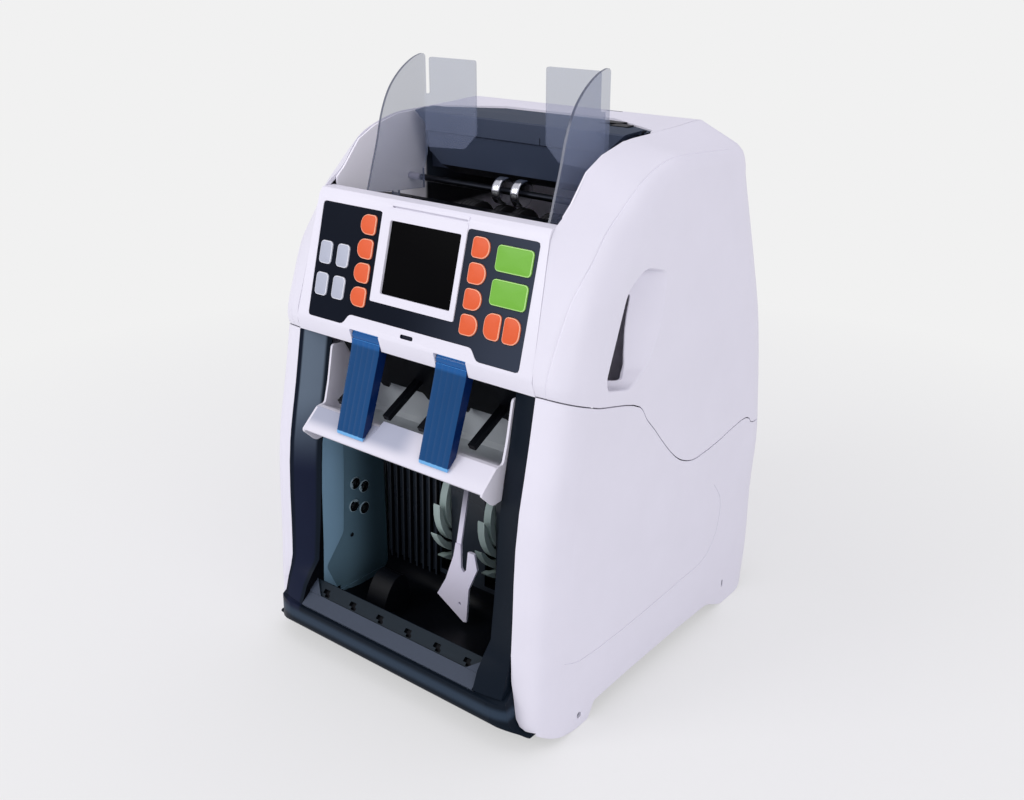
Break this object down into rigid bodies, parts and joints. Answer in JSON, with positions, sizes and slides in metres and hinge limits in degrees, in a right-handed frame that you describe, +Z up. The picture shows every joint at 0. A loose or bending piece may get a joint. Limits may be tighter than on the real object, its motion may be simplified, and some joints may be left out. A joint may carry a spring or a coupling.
{
  "type": "banknote sorter",
  "caption": "Desktop banknote sorter with a top hopper, leaning key panel with screen, reject pocket with blue stoppers and a stacker pocket; its upper half hinges open at the rear.",
  "frame": {"origin": "on the floor, under the middle of the machine's bounding box", "axes": "+X to the operator's right, -Y towards the operator, +Z up"},
  "size_m": [0.328, 0.3871, 0.5306],
  "materials": {
    "white_plastic": "satin moulded ABS",
    "navy_plastic": "satin moulded ABS",
    "slate_plastic": "satin moulded ABS",
    "black_plastic": "matt moulded plastic",
    "stacker_plastic": "satin moulded plastic",
    "keypad_film": "textured film",
    "orange_key": "satin",
    "green_key": "satin",
    "grey_key": "satin",
    "blue_clear": "translucent, polished",
    "clear_plastic": "clear, polished",
    "display_glass": "polished window over the screen",
    "steel": "zinc plated",
    "painted_steel": "satin paint",
    "bright_steel": "ground bright",
    "rubber": "matt",
    "blade_rubber": "matt",
    "circuit_board": "laminate with components"
  },
  "bodies": {
    "lower_unit": {"base_tray": "black_plastic", "foot_front_left": "rubber", "foot_front_right": "rubber", "foot_rear_left": "rubber", "foot_rear_right": "rubber", "front_frame": "navy_plastic", "sill_strip": "slate_plastic", "lower_cover_left": "white_plastic", "lower_cover_right": "white_plastic", "lower_rear_cover": "white_plastic", "reject_tray": "white_plastic", "stacker_left_wall": "stacker_plastic", "stacker_right_wall": "stacker_plastic", "stacker_tray": "black_plastic", "chassis_left": "steel", "chassis_right": "steel", "main_motor": "steel", "drive_belt": "rubber", "main_board": "circuit_board", "power_inlet": "black_plastic"},
    "upper_unit": {"upper_cover_left": "white_plastic", "upper_cover_right": "white_plastic", "upper_frame_left": "painted_steel", "upper_frame_right": "painted_steel", "top_rear_cover": "white_plastic", "panel_housing": "white_plastic", "keypad_overlay": "keypad_film", "display_module": "display_glass", "hopper_floor": "black_plastic", "feeder_head": "navy_plastic", "reject_chute": "black_plastic"},
    "stacker_spindle": {"stacker_wheels": "blade_rubber", "stacker_shaft": "steel"},
    "motor_spindle": {"motor_pulley": "steel"},
    "press_arm": {"stack_press_arm": "white_plastic"},
    "gate": {"diverter_gate": "black_plastic"},
    "rocker": {"power_switch": "black_plastic"},
    "feed_spindle": {"feed_rollers": "rubber"},
    "separation_spindle": {"separation_rollers": "bright_steel"},
    "guide_left": {"hopper_guide_left": "clear_plastic"},
    "guide_right": {"hopper_guide_right": "clear_plastic"},
    "latch": {"latch_bar": "black_plastic"},
    "flap_left": {"stopper_left": "blue_clear"},
    "flap_right": {"stopper_right": "blue_clear"},
    "key_orange_left_1": {"key_orange_left_1": "orange_key"},
    "key_orange_left_2": {"key_orange_left_2": "orange_key"},
    "key_orange_left_3": {"key_orange_left_3": "orange_key"},
    "key_orange_left_4": {"key_orange_left_4": "orange_key"},
    "key_orange_right_1": {"key_orange_right_1": "orange_key"},
    "key_orange_right_2": {"key_orange_right_2": "orange_key"},
    "key_orange_right_3": {"key_orange_right_3": "orange_key"},
    "key_orange_right_4": {"key_orange_right_4": "orange_key"},
    "key_orange_tall_left": {"key_orange_tall_left": "orange_key"},
    "key_orange_tall_right": {"key_orange_tall_right": "orange_key"},
    "key_green_upper": {"key_green_upper": "green_key"},
    "key_green_lower": {"key_green_lower": "green_key"},
    "key_grey_1": {"key_grey_1": "grey_key"},
    "key_grey_2": {"key_grey_2": "grey_key"},
    "key_grey_3": {"key_grey_3": "grey_key"},
    "key_grey_4": {"key_grey_4": "grey_key"}
  },
  "joints": [
    {"name": "upper_unit_hinge", "type": "hinge", "parent": "lower_unit", "child": "upper_unit", "pos_m": [0, 0.18902, 0.18152], "axis": [-1, 0, 0], "range_deg": [0, 45]},
    {"name": "stacker_spin", "type": "hinge", "parent": "lower_unit", "child": "stacker_spindle", "pos_m": [0, -0.03351, 0.11195], "axis": [1, 0, 0], "continuous": true},
    {"name": "motor_spin", "type": "hinge", "parent": "lower_unit", "child": "motor_spindle", "pos_m": [0, 0.06635, 0.06994], "axis": [1, 0, 0], "continuous": true},
    {"name": "press_arm_swing", "type": "hinge", "parent": "lower_unit", "child": "press_arm", "pos_m": [0, -0.08924, 0.20069], "axis": [-1, 0, 0], "range_deg": [0, 20]},
    {"name": "gate_turn", "type": "hinge", "parent": "lower_unit", "child": "gate", "pos_m": [0, -0.0668, 0.23184], "axis": [1, 0, 0], "range_deg": [0, 12], "stiffness_Nm_per_rad": 0.1, "springref_deg": -11.46},
    {"name": "rocker_tilt", "type": "hinge", "parent": "lower_unit", "child": "rocker", "pos_m": [-0.05024, 0.18479, 0.06428], "axis": [1, 0, 0], "range_deg": [0, 20]},
    {"name": "feed_spin", "type": "hinge", "parent": "upper_unit", "child": "feed_spindle", "pos_m": [0, -0.00845, 0.38505], "axis": [1, 0, 0], "continuous": true},
    {"name": "separation_spin", "type": "hinge", "parent": "upper_unit", "child": "separation_spindle", "pos_m": [0, -0.0095, 0.4197], "axis": [1, 0, 0], "continuous": true},
    {"name": "guide_left_slide", "type": "slide", "parent": "upper_unit", "child": "guide_left", "axis": [1, 0, 0], "range_m": [0, 0.032]},
    {"name": "guide_right_slide", "type": "slide", "parent": "upper_unit", "child": "guide_right", "axis": [-1, 0, 0], "range_m": [0, 0.032]},
    {"name": "latch_turn", "type": "hinge", "parent": "upper_unit", "child": "latch", "pos_m": [0, -0.07764, 0.32813], "axis": [1, 0, 0], "range_deg": [0, 12], "stiffness_Nm_per_rad": 0.5, "springref_deg": -11.46},
    {"name": "stopper_left_swing", "type": "hinge", "parent": "upper_unit", "child": "flap_left", "pos_m": [-0.048, -0.14309, 0.31184], "axis": [-1, 0, 0], "range_deg": [0, 60]},
    {"name": "stopper_right_swing", "type": "hinge", "parent": "upper_unit", "child": "flap_right", "pos_m": [0.048, -0.14309, 0.31184], "axis": [-1, 0, 0], "range_deg": [0, 60]},
    {"name": "key_orange_left_1_press", "type": "slide", "parent": "upper_unit", "child": "key_orange_left_1", "axis": [0, 0.9622, -0.2723], "range_m": [0, 0.001], "stiffness_N_per_m": 400, "springref_m": -0.0005},
    {"name": "key_orange_left_2_press", "type": "slide", "parent": "upper_unit", "child": "key_orange_left_2", "axis": [0, 0.9622, -0.2723], "range_m": [0, 0.001], "stiffness_N_per_m": 400, "springref_m": -0.0005},
    {"name": "key_orange_left_3_press", "type": "slide", "parent": "upper_unit", "child": "key_orange_left_3", "axis": [0, 0.9622, -0.2723], "range_m": [0, 0.001], "stiffness_N_per_m": 400, "springref_m": -0.0005},
    {"name": "key_orange_left_4_press", "type": "slide", "parent": "upper_unit", "child": "key_orange_left_4", "axis": [0, 0.9622, -0.2723], "range_m": [0, 0.001], "stiffness_N_per_m": 400, "springref_m": -0.0005},
    {"name": "key_orange_right_1_press", "type": "slide", "parent": "upper_unit", "child": "key_orange_right_1", "axis": [0, 0.9622, -0.2723], "range_m": [0, 0.001], "stiffness_N_per_m": 400, "springref_m": -0.0005},
    {"name": "key_orange_right_2_press", "type": "slide", "parent": "upper_unit", "child": "key_orange_right_2", "axis": [0, 0.9622, -0.2723], "range_m": [0, 0.001], "stiffness_N_per_m": 400, "springref_m": -0.0005},
    {"name": "key_orange_right_3_press", "type": "slide", "parent": "upper_unit", "child": "key_orange_right_3", "axis": [0, 0.9622, -0.2723], "range_m": [0, 0.001], "stiffness_N_per_m": 400, "springref_m": -0.0005},
    {"name": "key_orange_right_4_press", "type": "slide", "parent": "upper_unit", "child": "key_orange_right_4", "axis": [0, 0.9622, -0.2723], "range_m": [0, 0.001], "stiffness_N_per_m": 400, "springref_m": -0.0005},
    {"name": "key_orange_tall_left_press", "type": "slide", "parent": "upper_unit", "child": "key_orange_tall_left", "axis": [0, 0.9622, -0.2723], "range_m": [0, 0.001], "stiffness_N_per_m": 400, "springref_m": -0.0005},
    {"name": "key_orange_tall_right_press", "type": "slide", "parent": "upper_unit", "child": "key_orange_tall_right", "axis": [0, 0.9622, -0.2723], "range_m": [0, 0.001], "stiffness_N_per_m": 400, "springref_m": -0.0005},
    {"name": "key_green_upper_press", "type": "slide", "parent": "upper_unit", "child": "key_green_upper", "axis": [0, 0.9622, -0.2723], "range_m": [0, 0.001], "stiffness_N_per_m": 400, "springref_m": -0.0005},
    {"name": "key_green_lower_press", "type": "slide", "parent": "upper_unit", "child": "key_green_lower", "axis": [0, 0.9622, -0.2723], "range_m": [0, 0.001], "stiffness_N_per_m": 400, "springref_m": -0.0005},
    {"name": "key_grey_1_press", "type": "slide", "parent": "upper_unit", "child": "key_grey_1", "axis": [0, 0.9622, -0.2723], "range_m": [0, 0.001], "stiffness_N_per_m": 400, "springref_m": -0.0005},
    {"name": "key_grey_2_press", "type": "slide", "parent": "upper_unit", "child": "key_grey_2", "axis": [0, 0.9622, -0.2723], "range_m": [0, 0.001], "stiffness_N_per_m": 400, "springref_m": -0.0005},
    {"name": "key_grey_3_press", "type": "slide", "parent": "upper_unit", "child": "key_grey_3", "axis": [0, 0.9622, -0.2723], "range_m": [0, 0.001], "stiffness_N_per_m": 400, "springref_m": -0.0005},
    {"name": "key_grey_4_press", "type": "slide", "parent": "upper_unit", "child": "key_grey_4", "axis": [0, 0.9622, -0.2723], "range_m": [0, 0.001], "stiffness_N_per_m": 400, "springref_m": -0.0005}
  ],
  "couplings": [
    {"joint": "motor_spin", "follows": "stacker_spin", "ratio": 1.25},
    {"joint": "separation_spin", "follows": "feed_spin", "ratio": -1.7917},
    {"joint": "guide_right_slide", "follows": "guide_left_slide", "ratio": 1}
  ]
}
